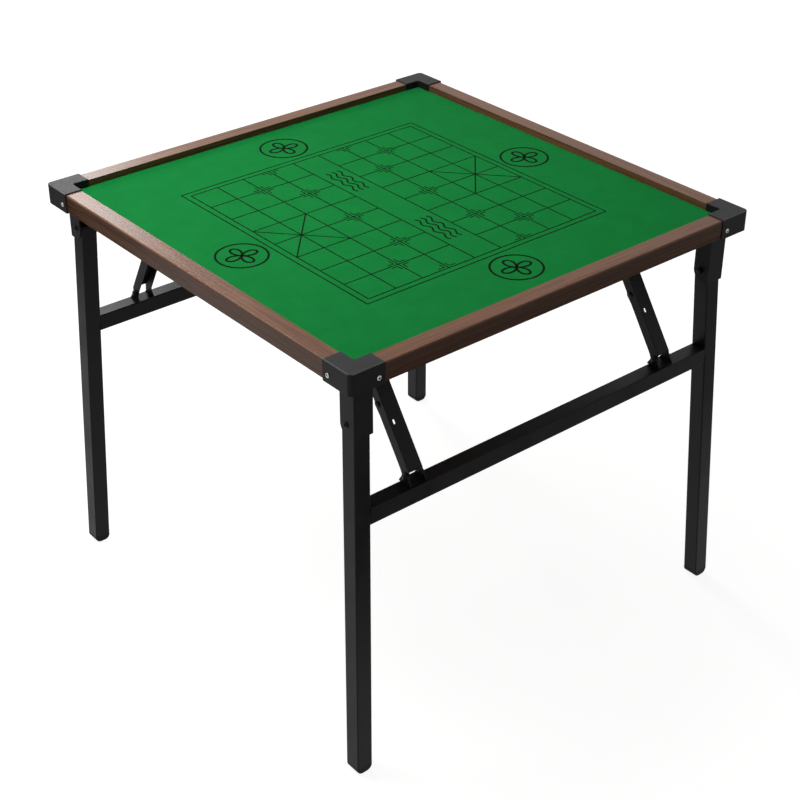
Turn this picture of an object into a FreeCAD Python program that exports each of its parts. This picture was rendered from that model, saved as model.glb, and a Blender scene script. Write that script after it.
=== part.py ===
import FreeCAD, Part
import os
import re
import Sketcher

# A square folding game table: a railed top with a sunk cloth, on two folding leg frames.
# Millimetres and degrees. The floor is z = 0 and the origin lies under the middle of the top.
# +Z is up, the front is -Y and the left is -X. Each leg frame turns about an axis along X.

SIZES = {
    "table_height": 760.0,
    "top_side": 850.0,
    "cap_wall": 2.0,
    "cap_arm": 64.0,
    "cap_lip": 12.0,
    "cap_skirt": 1.5,
    "cap_inner_corner": 2.5,
    "cap_round": 8.0,
    "cap_edge": 1.2,
    "corner_trim": 6.0,
    "rail_width": 30.0,
    "rail_height": 32.0,
    "rail_round": 3.0,
    "play_depth": 11.5,
    "cloth_thickness": 1.5,
    "cloth_gap": 0.3,
    "panel_thickness": 6.0,
    "groove_depth": 7.0,
    "groove_gap": 0.3,
    "block_margin": 4.0,
    "block_corner": 25.0,
    "batten_width": 56.0,
    "batten_gap": 0.3,
    "cap_screw_run": 52.0,
    "cap_screw_drop": 22.5,
    "screw_radius": 1.75,
    "screw_head_radius": 4.0,
    "screw_head_height": 2.2,
    "screw_grip": 12.0,
    "screw_gap": 0.05,
    "screw_cover": 3.5,
    "leg_side": 30.0,
    "leg_wall": 1.5,
    "tube_round": 2.0,
    "leg_splay_angle": 2.4,
    "leg_lean_angle": 2.6,
    "leg_inset_x": 44.4,
    "leg_inset_y": 45.0,
    "foot_height": 14.0,
    "foot_flat": 8.0,
    "plug_depth": 20.0,
    "plug_gap": 0.3,
    "front_pivot_drop": 76.0,
    "fold_gap": 1.0,
    "crossbar_drop": 240.0,
    "crossbar_side": 30.0,
    "crossbar_wall": 1.5,
    "sheet_thickness": 2.0,
    "bracket_gap": 0.3,
    "bracket_stop": 20.0,
    "bracket_reach": 14.0,
    "bracket_corner": 20.0,
    "bracket_plate_x": 46.0,
    "bracket_plate_y": 30.0,
    "bracket_screw_inset": 9.0,
    "bolt_radius": 3.0,
    "bolt_gap": 0.05,
    "bolt_head_radius": 5.0,
    "bolt_head_height": 3.0,
    "bolt_tail": 2.0,
    "nut_radius": 5.8,
    "nut_height": 5.0,
    "stay_inset": 147.0,
    "stay_width": 28.0,
    "stay_wall": 1.5,
    "stay_round": 1.5,
    "stay_gap": 0.4,
    "stay_web_rise": 13.0,
    "stay_flange": 19.0,
    "stay_lug": 8.0,
    "stay_overrun": 38.0,
    "stay_pivot_inset": 3.0,
    "front_stay_angle": 56.0,
    "front_knee_share": 0.578,
    "back_stay_angle": 61.0,
    "back_knee_share": 0.692,
    "stay_anchor_drop": 42.0,
    "slot_drop": 33.0,
    "slot_length": 8.0,
    "slot_width": 4.0,
    "slot_shift": -6.0,
    "clip_half_length": 14.0,
    "clip_floor_gap": 1.0,
    "anchor_half_length": 14.0,
    "anchor_plate_reach": 18.0,
    "anchor_screw_inset": 7.0,
    "rivet_radius": 3.0,
    "rivet_gap": 0.05,
    "rivet_head_radius": 5.0,
    "rivet_head_height": 3.0,
    "rivet_tail": 0.5,
}

# How far a cutting outline runs past the piece that it cuts.
PAST = "leg_side"


def leg_x(height):
    """Distance of a leg's axis from the middle plane, along X, at a height."""
    return f"(top_side / 2 - leg_inset_x + (rail_bottom - ({height})) * tan(leg_splay_angle))"


def leg_y(height):
    """Distance of a leg's axis from the middle plane, along Y, at a height."""
    return f"(top_side / 2 - leg_inset_y + (rail_bottom - ({height})) * tan(leg_lean_angle))"


# Values that follow from the sizes, written as rules over them.
RULES = {
    "rail_half": "top_side / 2 - cap_wall",
    "rail_inner": "rail_half - rail_width",
    "rail_top": "table_height - cap_wall",
    "rail_bottom": "rail_top - rail_height",
    "cloth_top": "rail_top - play_depth",
    "panel_top": "cloth_top - cloth_thickness",
    "panel_bottom": "panel_top - panel_thickness",
    "cap_bottom": "rail_bottom - cap_wall",
    "cap_inner": "rail_inner - cap_skirt",
    "cap_end": "top_side / 2 - cap_arm",
    "cap_screw_x": "top_side / 2 - cap_screw_run",
    "cap_screw_z": "table_height - cap_screw_drop",
    "screw_hole": "screw_radius + screw_gap",
    "screw_depth": "screw_grip + screw_gap",
    "block_height": "panel_bottom - rail_bottom",
    "block_grip": "block_height - screw_cover",
    "block_hole_depth": "block_grip + screw_gap",
    "front_pivot_height": "rail_bottom - front_pivot_drop",
    "back_pivot_height": "front_pivot_height + leg_side + fold_gap",
    "crossbar_height": "rail_bottom - crossbar_drop",
    "stay_spread": "top_side / 2 - stay_inset",
    "stay_pivot_rise": "stay_lug + sheet_thickness + clip_floor_gap",
    "bolt_hole": "bolt_radius + bolt_gap",
    "rivet_hole": "rivet_radius + rivet_gap",
    "crossbar_top": "crossbar_height + crossbar_side / 2",
    "crossbar_bottom": "crossbar_height - crossbar_side / 2",
    "stay_pivot_z": "crossbar_top + stay_pivot_rise",
    "stay_pivot_y": leg_y("crossbar_height") + " - stay_pivot_inset",
    "stay_inside": "stay_width - 2 * stay_wall",
    "stay_web_inner": "stay_web_rise - stay_wall",
    "upper_width": "stay_inside - 2 * stay_gap",
    "upper_inside": "upper_width - 2 * stay_wall",
    "upper_web_rise": "stay_web_inner - stay_gap",
    "upper_web_inner": "upper_web_rise - stay_wall",
    "stay_edge": "stay_flange - stay_web_rise",
    "clip_inside": "stay_width + 2 * stay_gap",
    "clip_outside": "clip_inside + 2 * sheet_thickness",
    "anchor_inside": "upper_width + 2 * stay_gap",
    "anchor_outside": "anchor_inside + 2 * sheet_thickness",
    "anchor_plate_half": "anchor_outside / 2 + anchor_plate_reach",
    "anchor_screw_x": "anchor_plate_half - anchor_screw_inset",
    "plate_bottom": "rail_bottom - sheet_thickness",
    "plate_y": "rail_inner - bracket_plate_y",
}
for end in ("front", "back"):
    pivot = f"{end}_pivot_height"
    RULES.update({
        f"{end}_pivot_x": leg_x(pivot),
        f"{end}_pivot_y": leg_y(pivot),
        f"{end}_web_bottom": f"{pivot} - bracket_stop",
        f"{end}_web_y": leg_y(f"{end}_web_bottom") + " + leg_side / 2 + bracket_gap",
        f"{end}_flange_x": leg_x(f"{pivot} + leg_side / 2") + " - leg_side / 2 - bracket_gap",
        f"{end}_outer_x": leg_x(f"{end}_web_bottom") + " + leg_side / 2 + bracket_gap",
        f"{end}_flange_y": f"{end}_pivot_y - bracket_reach",
        f"{end}_plate_x": f"{end}_flange_x - bracket_plate_x",
        f"{end}_anchor_z": "rail_bottom - stay_anchor_drop",
        f"{end}_stay_reach": f"({end}_anchor_z - stay_pivot_z) / sin({end}_stay_angle)",
        f"{end}_stay_lower": f"{end}_stay_reach * {end}_knee_share",
        f"{end}_stay_upper": f"{end}_stay_reach - {end}_stay_lower",
        f"{end}_knee_y": f"stay_pivot_y - {end}_stay_lower * cos({end}_stay_angle)",
        f"{end}_knee_z": f"stay_pivot_z + {end}_stay_lower * sin({end}_stay_angle)",
        f"{end}_anchor_y": f"stay_pivot_y - {end}_stay_reach * cos({end}_stay_angle)",
        f"{end}_batten_edge": f"{end}_anchor_y + batten_width / 2",
        f"{end}_block_x": f"{end}_plate_x - block_margin",
        f"{end}_block_y": f"{end}_batten_edge + batten_gap",
    })

doc = FreeCAD.newDocument("FoldingGameTable")
sheet = doc.addObject("Spreadsheet::Sheet", "Sizes")
for row, (alias, size) in enumerate(SIZES.items(), start=1):
    sheet.set(f"A{row}", alias)
    sheet.set(f"B{row}", str(size))
    sheet.setAlias(f"B{row}", alias)
doc.recompute()

NODES = []


def rule(text):
    """The text as an expression over the sheet, with every named rule written out."""
    def replace(match):
        word = match.group(0)
        if word in RULES:
            return f"({rule(RULES[word])})"
        return f"Sizes.{word}" if word in SIZES else word
    return re.sub(r"[a-z_]+", replace, str(text))


def number(text):
    """The present value of a rule."""
    return float(sheet.evalExpression(rule(text)))


def bind(target, prop, text):
    target.setExpression(prop, rule(text))


def node(target, label):
    """Names a finished sub-part, which is then written to a file of that name."""
    target.Label = label
    NODES.append(target)
    return target


def new_body(label, yaw=0.0, base=None, roll=None):
    """A body turned about Z by yaw and tipped about its own X by roll, at a place given by rules."""
    body = doc.addObject("PartDesign::Body", label)
    tip = number(roll) if roll else 0.0
    body.Placement = FreeCAD.Placement(FreeCAD.Vector(), FreeCAD.Rotation(yaw, 0.0, tip))
    if roll:
        bind(body, "Placement.Rotation.Roll", roll)
    for axis, text in zip("xyz", base or ()):
        bind(body, f"Placement.Base.{axis}", text)
    return node(body, label)


def fix_point(sketch, geometry, position, axes, texts):
    """Holds a point of the sketch at the places that the rules give, along the named axes."""
    for axis, text in zip(axes, texts):
        index = sketch.addConstraint(
            Sketcher.Constraint(f"Distance{axis}", -1, 1, geometry, position, number(text)))
        bind(sketch, f"Constraints[{index}]", text)


def draw_circle(sketch, u, v, radius):
    centre = FreeCAD.Vector(number(u), number(v), 0)
    index = sketch.addGeometry(Part.Circle(centre, FreeCAD.Vector(0, 0, 1), number(radius)), False)
    held = sketch.addConstraint(Sketcher.Constraint("Radius", index, number(radius)))
    bind(sketch, f"Constraints[{held}]", radius)
    fix_point(sketch, index, 3, "XY", (u, v))


def draw_path(sketch, path):
    """A closed outline. A point is (u, v), or (u, v, cu, cv) where an arc about (cu, cv) follows,
    turning counter-clockwise."""
    spots = [FreeCAD.Vector(number(point[0]), number(point[1]), 0) for point in path]
    indices = []
    for here, there, point in zip(spots, spots[1:] + spots[:1], path):
        if len(point) == 2:
            curve = Part.LineSegment(here, there)
        else:
            centre = FreeCAD.Vector(number(point[2]), number(point[3]), 0)
            circle = Part.Circle(centre, FreeCAD.Vector(0, 0, 1), (here - centre).Length)
            curve = Part.ArcOfCircle(circle, circle.parameter(here), circle.parameter(there))
        indices.append(sketch.addGeometry(curve, False))
    for index, follower in zip(indices, indices[1:] + indices[:1]):
        sketch.addConstraint(Sketcher.Constraint("Coincident", index, 2, follower, 1))
    for index, point, here, there in zip(indices, path, spots, spots[1:] + spots[:1]):
        fix_point(sketch, index, 1, "XY", point[:2])
        if len(point) == 4:
            chord = there - here
            if abs(chord.x) >= abs(chord.y):
                fix_point(sketch, index, 3, "Y", point[3:])
            else:
                fix_point(sketch, index, 3, "X", point[2:3])


def sketch_on(body, plane, paths=(), circles=(), at="0"):
    """A sketch on one of the body's own planes, moved by `at` along that plane's normal."""
    sketch = body.newObject("Sketcher::SketchObject", "Outline")
    support = [item for item in body.Origin.OriginFeatures if item.Role == plane + "_Plane"]
    sketch.AttachmentSupport = (support[0], [""])
    sketch.MapMode = "FlatFace"
    bind(sketch, "AttachmentOffset.Base.z", at)
    for path in paths:
        draw_path(sketch, path)
    for circle in circles:
        draw_circle(sketch, *circle)
    return sketch


def pad(body, sketch, length, both=True, backwards=False):
    feature = body.newObject("PartDesign::Pad", "Pad")
    feature.Profile = sketch
    feature.SideType = "Symmetric" if both else "One side"
    feature.Reversed = backwards
    bind(feature, "Length", length)
    return feature


def pocket(body, sketch, length=None, both=True, backwards=False):
    """A cut. With no length it goes right through, both ways."""
    feature = body.newObject("PartDesign::Pocket", "Pocket")
    feature.Profile = sketch
    feature.SideType = "Symmetric" if both else "One side"
    feature.Reversed = backwards
    if length:
        bind(feature, "Length", length)
    else:
        feature.Type = "ThroughAll"
    return feature


def fillet(body, feature, radius, wanted):
    """Rounds the edges of a feature that pass the test."""
    doc.recompute()
    edges = enumerate(feature.Shape.Edges, start=1)
    names = [f"Edge{index}" for index, edge in edges if wanted(edge)]
    rounded = body.newObject("PartDesign::Fillet", "Fillet")
    rounded.Base = (feature, names)
    bind(rounded, "Radius", radius)
    return rounded


def near(one, other):
    return abs(one - number(other)) < 1e-4


def both_ends(test):
    """A test of an edge that asks the same of each of its two ends."""
    return lambda edge: all(test(vertex.Point) for vertex in edge.Vertexes)


def rectangle(u0, u1, v0, v1):
    return [(u0, v0), (u1, v0), (u1, v1), (u0, v1)]


def rod(start, radius, length, along, yaw=0.0):
    """A round bar from a starting point, along X or Y or Z of a frame turned about Z by yaw."""
    bar = doc.addObject("Part::Cylinder", "Rod")
    turn = FreeCAD.Rotation(yaw, 0, 0)
    aim = turn.multVec(FreeCAD.Vector(*along))
    bar.Placement.Rotation = FreeCAD.Rotation(FreeCAD.Vector(0, 0, 1), aim)
    bind(bar, "Radius", radius)
    bind(bar, "Height", length)
    for axis, text in zip("xyz", turned(start, yaw)):
        bind(bar, f"Placement.Base.{axis}", text)
    return bar


def turned(point, yaw):
    """The rules of a point after a turn about Z by a whole number of quarter turns."""
    x, y, z = point
    for _ in range(int(yaw) // 90):
        x, y = f"-({y})", x
    return x, y, z


def fuse(shapes):
    joined = doc.addObject("Part::MultiFuse", "Joined")
    joined.Shapes = shapes
    return joined


def group(label, solids):
    """Like fasteners kept together in one node, as separate solids."""
    together = doc.addObject("Part::Compound", label)
    together.Links = solids
    return node(together, label)


def screw(seat, along, length, yaw):
    """A pan-head screw: its head sits on `seat` and its shank runs along `along`."""
    back = tuple(-step for step in along)
    head = rod(seat, "screw_head_radius", "screw_head_height", back, yaw)
    shank = rod(seat, "screw_radius", length, along, yaw)
    return fuse([head, shank])


CORNERS = {"front_left": 0.0, "front_right": 90.0, "back_right": 180.0, "back_left": 270.0}
RAILS = {"front": 0.0, "right": 90.0, "back": 180.0, "left": 270.0}
ENDS = {"front": 0.0, "back": 180.0}


def places(end):
    """Each side's name at one end, with the sign of its X in that end's own turned frame."""
    forward = 1 if end == "front" else -1
    return (("left", -forward), ("right", forward))


def make_panel():
    side = "2 * (rail_inner + groove_depth - groove_gap)"
    plate = node(doc.addObject("Part::Box", "Panel"), "top_panel")
    bind(plate, "Length", side)
    bind(plate, "Width", side)
    bind(plate, "Height", "panel_thickness")
    bind(plate, "Placement.Base.x", f"-({side}) / 2")
    bind(plate, "Placement.Base.y", f"-({side}) / 2")
    bind(plate, "Placement.Base.z", "panel_bottom")


def make_cloth():
    """The cloth fills the recess and is cut round the inner skirts of the corner caps."""
    body = new_body("playing_cloth")
    edge = "rail_inner - cloth_gap"
    skirt = "cap_inner - cloth_gap"
    arm = "cap_end - cloth_gap"
    corner = "cap_inner - cloth_gap - cap_inner_corner"
    first = [(f"-({edge})", f"-({arm})"), (f"-({skirt})", f"-({arm})"), (f"-({skirt})", f"-({corner})"),
             (f"-({corner})", f"-({skirt})"), (f"-({arm})", f"-({skirt})"), (f"-({arm})", f"-({edge})")]
    outline = []
    for yaw in CORNERS.values():
        outline += [turned((u, v, "0"), yaw)[:2] for u, v in first]
    pad(body, sketch_on(body, "XY", [outline], at="panel_top"), "cloth_thickness", both=False)


def make_rail(name, yaw):
    """A grooved rail, mitred at both ends, with its tips trimmed inside the corner caps."""
    body = new_body(f"rail_{name}", yaw)
    groove = "-rail_inner - groove_depth"
    section = [("-rail_half", "rail_bottom"), ("-rail_inner", "rail_bottom"),
               ("-rail_inner", "panel_bottom"), (groove, "panel_bottom"),
               (groove, "panel_top"), ("-rail_inner", "panel_top"),
               ("-rail_inner", "rail_top"), ("-rail_half", "rail_top")]
    pad(body, sketch_on(body, "YZ", [section]), "2 * (rail_half - corner_trim)")
    mitres = []
    for sign in ("", "-"):
        mitres.append([(f"{sign}(rail_half + {PAST})", f"-rail_half - {PAST}"),
                       (f"{sign}(rail_half + {PAST})", f"-rail_inner + {PAST}"),
                       (f"{sign}(rail_inner - {PAST})", f"-rail_inner + {PAST}")])
    cut = pocket(body, sketch_on(body, "XY", mitres))
    fillet(body, cut, "rail_round",
           both_ends(lambda spot: near(spot.y, "-rail_half") and near(spot.z, "rail_top")))
    holes = [(f"{sign}cap_screw_x", "cap_screw_z", "screw_hole") for sign in ("", "-")]
    pocket(body, sketch_on(body, "XZ", circles=holes, at="rail_half"), "screw_depth", both=False)


def make_cap(name, yaw):
    """A plastic corner: a plate over the rails, outer walls, a skirt inside and a lip below."""
    body = new_body(f"corner_cap_{name}", yaw)
    far = "cap_end - cap_arm"
    outer = [("-top_side / 2", "-top_side / 2"), ("-cap_end", "-top_side / 2"),
             ("-cap_end", "-cap_inner"), ("-cap_inner + cap_inner_corner", "-cap_inner"),
             ("-cap_inner", "-cap_inner + cap_inner_corner"), ("-cap_inner", "-cap_end"),
             ("-top_side / 2", "-cap_end")]
    pad(body, sketch_on(body, "XY", [outer], at="cap_bottom"), "table_height - cap_bottom", both=False)
    channel = [("-rail_half + corner_trim", "-rail_half"), (f"-({far})", "-rail_half"),
               (f"-({far})", "-rail_inner"), ("-rail_inner", "-rail_inner"),
               ("-rail_inner", f"-({far})"), ("-rail_half", f"-({far})"),
               ("-rail_half", "-rail_half + corner_trim")]
    pocket(body, sketch_on(body, "XY", [channel], at="rail_top"), "rail_height", both=False)
    below = rectangle("-rail_inner", f"-({far})", "-rail_inner", f"-({far})")
    pocket(body, sketch_on(body, "XY", [below], at="panel_top + cloth_gap"), "table_height", both=False)
    lip_edge = "-top_side / 2 + cap_lip"
    under = rectangle(lip_edge, f"-({far})", lip_edge, f"-({far})")
    opened = pocket(body, sketch_on(body, "XY", [under], at="rail_bottom"), "table_height", both=False)
    corner = fillet(body, opened, "cap_round", both_ends(
        lambda spot: near(spot.x, "-top_side / 2") and near(spot.y, "-top_side / 2")))
    fillet(body, corner, "cap_edge", both_ends(lambda spot: near(spot.z, "table_height")))
    hole = [("-cap_screw_x", "cap_screw_z", "screw_hole")]
    pocket(body, sketch_on(body, "XZ", circles=hole, at="top_side / 2"), "cap_wall", both=False)
    pocket(body, sketch_on(body, "YZ", circles=hole, at="-top_side / 2"), "cap_wall",
           both=False, backwards=True)


def make_cap_screws():
    screws = []
    for yaw in CORNERS.values():
        for seat, along in ((("-cap_screw_x", "-top_side / 2", "cap_screw_z"), (0, 1, 0)),
                            (("-top_side / 2", "-cap_screw_x", "cap_screw_z"), (1, 0, 0))):
            screws.append(screw(seat, along, "cap_wall + screw_grip", yaw))
    group("corner_cap_screws", screws)


def bracket_screw_spots(end):
    """Places of a leg bracket's four wood screws, as distances from the middle planes."""
    near_x = f"{end}_flange_x - sheet_thickness - bracket_screw_inset"
    far_x = f"{end}_plate_x + bracket_screw_inset"
    near_y = "rail_inner - bracket_screw_inset"
    far_y = "plate_y + bracket_screw_inset"
    return [(x, y) for x in (near_x, far_x) for y in (near_y, far_y)]


def make_corner_block(end, side, sign):
    """A wood block glued under the panel in a corner, for the leg bracket's screws."""
    body = new_body(f"corner_block_{end}_{side}", ENDS[end])
    inner_x = f"{end}_block_x"
    inner_y = f"{end}_block_y"
    plan = [(f"{sign} * rail_inner", "-rail_inner"),
            (f"{sign} * rail_inner", f"-{inner_y}"),
            (f"{sign} * ({inner_x} + block_corner)", f"-{inner_y}"),
            (f"{sign} * {inner_x}", f"-{inner_y} - block_corner"),
            (f"{sign} * {inner_x}", "-rail_inner")]
    pad(body, sketch_on(body, "XY", [plan], at="rail_bottom"), "block_height", both=False)
    holes = [(f"{sign} * ({x})", f"-({y})", "screw_hole") for x, y in bracket_screw_spots(end)]
    pocket(body, sketch_on(body, "XY", circles=holes, at="rail_bottom"), "block_hole_depth",
           both=False, backwards=True)


def make_batten(end):
    """A wood batten glued under the panel, for the anchors of one end's two stays."""
    body = new_body(f"stay_batten_{end}", ENDS[end])
    edge = f"-{end}_batten_edge"
    plan = rectangle("-rail_inner", "rail_inner", edge, f"{edge} + batten_width")
    pad(body, sketch_on(body, "XY", [plan], at="rail_bottom"), "block_height", both=False)
    holes = []
    for sign in (-1, 1):
        for step in ("-", "+"):
            holes.append((f"{sign} * stay_spread {step} anchor_screw_x", f"-{end}_anchor_y", "screw_hole"))
    pocket(body, sketch_on(body, "XY", circles=holes, at="rail_bottom"), "block_hole_depth",
           both=False, backwards=True)


def make_leg_bracket(end, side, sign):
    """Bent sheet: a web behind the leg as its stop, a flange on each side of it and a plate above."""
    body = new_body(f"leg_bracket_{end}_{side}", ENDS[end])
    flange = f"{end}_flange_x"
    web_out = f"{end}_web_y + sheet_thickness"
    outer = f"{end}_outer_x + sheet_thickness"
    corner_y = f"-{end}_flange_y - bracket_corner"
    corner_z = f"{end}_web_bottom + bracket_corner"
    side_view = [(f"-({web_out})", "rail_bottom"), (f"-({web_out})", f"{end}_web_bottom"),
                 (corner_y, f"{end}_web_bottom", corner_y, corner_z),
                 (f"-{end}_flange_y", corner_z), (f"-{end}_flange_y", "rail_bottom")]
    middle = f"{sign} * ({flange} - sheet_thickness / 2)"
    pad(body, sketch_on(body, "YZ", [side_view], at=middle), "sheet_thickness")
    front_view = rectangle(f"{sign} * ({flange} - sheet_thickness)", f"{sign} * ({outer})",
                           f"{end}_web_bottom", "rail_bottom")
    web_middle = f"{end}_web_y + sheet_thickness / 2"
    pad(body, sketch_on(body, "XZ", [front_view], at=web_middle), "sheet_thickness")
    outer_middle = f"{sign} * ({outer} - sheet_thickness / 2)"
    pad(body, sketch_on(body, "YZ", [side_view], at=outer_middle), "sheet_thickness")
    plan = rectangle(f"{sign} * ({end}_plate_x)", f"{sign} * ({flange})", "-rail_inner", "-plate_y")
    pad(body, sketch_on(body, "XY", [plan], at="plate_bottom"), "sheet_thickness", both=False)
    holes = [(f"{sign} * ({x})", f"-({y})", "screw_hole") for x, y in bracket_screw_spots(end)]
    pocket(body, sketch_on(body, "XY", circles=holes, at="plate_bottom"), "sheet_thickness",
           both=False, backwards=True)
    bolt = [(f"-{end}_pivot_y", f"{end}_pivot_height", "bolt_hole")]
    pocket(body, sketch_on(body, "YZ", circles=bolt))


def make_bracket_screws():
    screws = []
    for end, yaw in ENDS.items():
        for _, sign in places(end):
            for x, y in bracket_screw_spots(end):
                seat = (f"{sign} * ({x})", f"-({y})", "plate_bottom")
                screws.append(screw(seat, (0, 0, 1), "sheet_thickness + block_grip", yaw))
    group("leg_bracket_screws", screws)


def make_pivot_bolts():
    """One bolt to a leg, from a head on the bracket's outer flange to a nut on its inner one."""
    bolts = []
    nuts = []
    for end, yaw in ENDS.items():
        head = f"{end}_outer_x + sheet_thickness"
        nut_end = f"{end}_flange_x - sheet_thickness - nut_height"
        y = f"-{end}_pivot_y"
        z = f"{end}_pivot_height"
        for _, sign in places(end):
            out = (sign, 0, 0)
            cap = rod((f"{sign} * ({head})", y, z), "bolt_head_radius", "bolt_head_height", out, yaw)
            shank = rod((f"{sign} * ({nut_end} - bolt_tail)", y, z), "bolt_radius",
                        f"{head} - ({nut_end}) + bolt_tail", out, yaw)
            bolts.append(fuse([cap, shank]))
            hexagon = doc.addObject("Part::Prism", "Hexagon")
            hexagon.Polygon = 6
            aim = FreeCAD.Rotation(yaw, 0, 0).multVec(FreeCAD.Vector(*out))
            hexagon.Placement.Rotation = FreeCAD.Rotation(FreeCAD.Vector(0, 0, 1), aim)
            bind(hexagon, "Circumradius", "nut_radius")
            bind(hexagon, "Height", "nut_height")
            for axis, text in zip("xyz", turned((f"{sign} * ({nut_end})", y, z), yaw)):
                bind(hexagon, f"Placement.Base.{axis}", text)
            bore = rod((f"{sign} * ({nut_end} - bolt_tail)", y, z), "bolt_hole",
                       "nut_height + 2 * bolt_tail", out, yaw)
            nut = doc.addObject("Part::Cut", "Nut")
            nut.Base = hexagon
            nut.Tool = bore
            nuts.append(nut)
    group("leg_pivot_bolts", bolts)
    group("leg_pivot_nuts", nuts)


def slanted(feature, sign):
    """Makes a pad climb along the leg: inwards by its splay and its lean."""
    feature.UseCustomVector = True
    feature.AlongSketchNormal = True
    bind(feature, "Direction.x", f"-{sign} * tan(leg_splay_angle)")
    bind(feature, "Direction.y", "tan(leg_lean_angle)")
    bind(feature, "Direction.z", "1")


def square_about(x, y, side):
    return rectangle(f"{x} - ({side}) / 2", f"{x} + ({side}) / 2",
                     f"{y} - ({side}) / 2", f"{y} + ({side}) / 2")


def make_leg(end, side, sign):
    """A square tube with a rounded top end, bored for its pivot bolt."""
    body = new_body(f"leg_{end}_{side}", ENDS[end])
    x = f"{sign} * {leg_x('foot_height')}"
    y = f"-{leg_y('foot_height')}"
    pivot_y = f"-{end}_pivot_y"
    pivot_z = f"{end}_pivot_height"
    walls = [square_about(x, y, "leg_side"), square_about(x, y, "leg_side - 2 * leg_wall")]
    tube = pad(body, sketch_on(body, "XY", walls, at="foot_height"),
               f"{pivot_z} + leg_side / 2 - foot_height", both=False)
    slanted(tube, sign)

    def outer_corner(edge):
        middle = edge.CenterOfMass
        across = middle.x - number(f"{sign} * {leg_x(middle.z)}")
        along = middle.y + number(leg_y(middle.z))
        return near(abs(across), "leg_side / 2") and near(abs(along), "leg_side / 2")

    fillet(body, tube, "tube_round", outer_corner)
    above = [(f"{pivot_y} + leg_side / 2", pivot_z, pivot_y, pivot_z),
             (f"{pivot_y} - leg_side / 2", pivot_z),
             (f"{pivot_y} - leg_side", pivot_z), (f"{pivot_y} - leg_side", f"{pivot_z} + leg_side"),
             (f"{pivot_y} + leg_side", f"{pivot_z} + leg_side"), (f"{pivot_y} + leg_side", pivot_z)]
    pocket(body, sketch_on(body, "YZ", [above]))
    pocket(body, sketch_on(body, "YZ", circles=[(pivot_y, pivot_z, "bolt_hole")]))


def make_foot(end, side, sign):
    """A plastic plug in the leg's lower end, rounded below about a flat that rests on the floor."""
    body = new_body(f"foot_{end}_{side}", ENDS[end])
    x = f"{sign} * {leg_x('foot_height')}"
    y = leg_y("foot_height")
    radius = "(leg_side - foot_flat) / 2"
    outline = [(f"{x} + foot_flat / 2", "0", f"{x} + foot_flat / 2", radius),
               (f"{x} + leg_side / 2", radius), (f"{x} + leg_side / 2", "foot_height"),
               (f"{x} - leg_side / 2", "foot_height"),
               (f"{x} - leg_side / 2", radius, f"{x} - foot_flat / 2", radius),
               (f"{x} - foot_flat / 2", "0")]
    block = pad(body, sketch_on(body, "XZ", [outline], at=y), "leg_side")
    fillet(body, block, "tube_round", lambda edge: edge.CenterOfMass.z < number("foot_height")
           and near(abs(edge.CenterOfMass.y + number(y)), "leg_side / 2"))
    spigot = square_about(x, f"-{y}", "leg_side - 2 * leg_wall - 2 * plug_gap")
    plug = pad(body, sketch_on(body, "XY", [spigot], at="foot_height"), "plug_depth", both=False)
    slanted(plug, sign)


def make_crossbar(end):
    """A square tube welded between the two legs, its ends cut to their slant."""
    body = new_body(f"crossbar_{end}", ENDS[end])
    low = leg_x("crossbar_bottom") + " - leg_side / 2"
    high = leg_x("crossbar_top") + " - leg_side / 2"
    view = [(f"-({low})", "crossbar_bottom"), (low, "crossbar_bottom"),
            (high, "crossbar_top"), (f"-({high})", "crossbar_top")]
    middle = leg_y("crossbar_height")
    bar = pad(body, sketch_on(body, "XZ", [view], at=middle), "crossbar_side")
    fillet(body, bar, "tube_round", lambda edge: near(edge.CenterOfMass.x, "0"))
    bore = square_about(f"-{middle}", "crossbar_height", "crossbar_side - 2 * crossbar_wall")
    pocket(body, sketch_on(body, "YZ", [bore]))


def stay_place(end, sign, pivot):
    """Where one of a stay's pivots lies, for a body that is turned to its end of the table."""
    forward = 1 if end == "front" else -1
    return (f"{forward * sign} * stay_spread", f"{-forward} * {pivot}_y", f"{pivot}_z")


def make_clip(end, side, sign):
    """A clip on the crossbar: a base and two rounded ears that hold a stay's lower end."""
    body = new_body(f"stay_clip_{end}_{side}", ENDS[end], stay_place(end, sign, "stay_pivot"))
    base = "-stay_pivot_rise"
    view = [("-clip_half_length", base), ("clip_half_length", base),
            ("clip_half_length", f"{base} + sheet_thickness"), ("stay_lug", "0", "0", "0"),
            ("-stay_lug", "0"), ("-clip_half_length", f"{base} + sheet_thickness")]
    pad(body, sketch_on(body, "YZ", [view]), "clip_outside")
    room = rectangle("-2 * clip_half_length", "2 * clip_half_length",
                     f"{base} + sheet_thickness", "2 * stay_lug")
    pocket(body, sketch_on(body, "YZ", [room]), "clip_inside")
    pocket(body, sketch_on(body, "YZ", circles=[("0", "0", "rivet_hole")]))


def make_clip_rivets(end):
    """Short rivets, one in each ear, that a stay's lower end turns on."""
    rivets = []
    for _, sign in places(end):
        for out in (-1, 1):
            seat = (f"{sign} * stay_spread + {out} * clip_outside / 2", "-stay_pivot_y", "stay_pivot_z")
            head = rod(seat, "rivet_head_radius", "rivet_head_height", (out, 0, 0), ENDS[end])
            shank = rod(seat, "rivet_radius", "(clip_outside - stay_inside) / 2 + rivet_tail",
                        (-out, 0, 0), ENDS[end])
            rivets.append(fuse([head, shank]))
    group(f"stay_clip_rivets_{end}", rivets)


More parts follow.
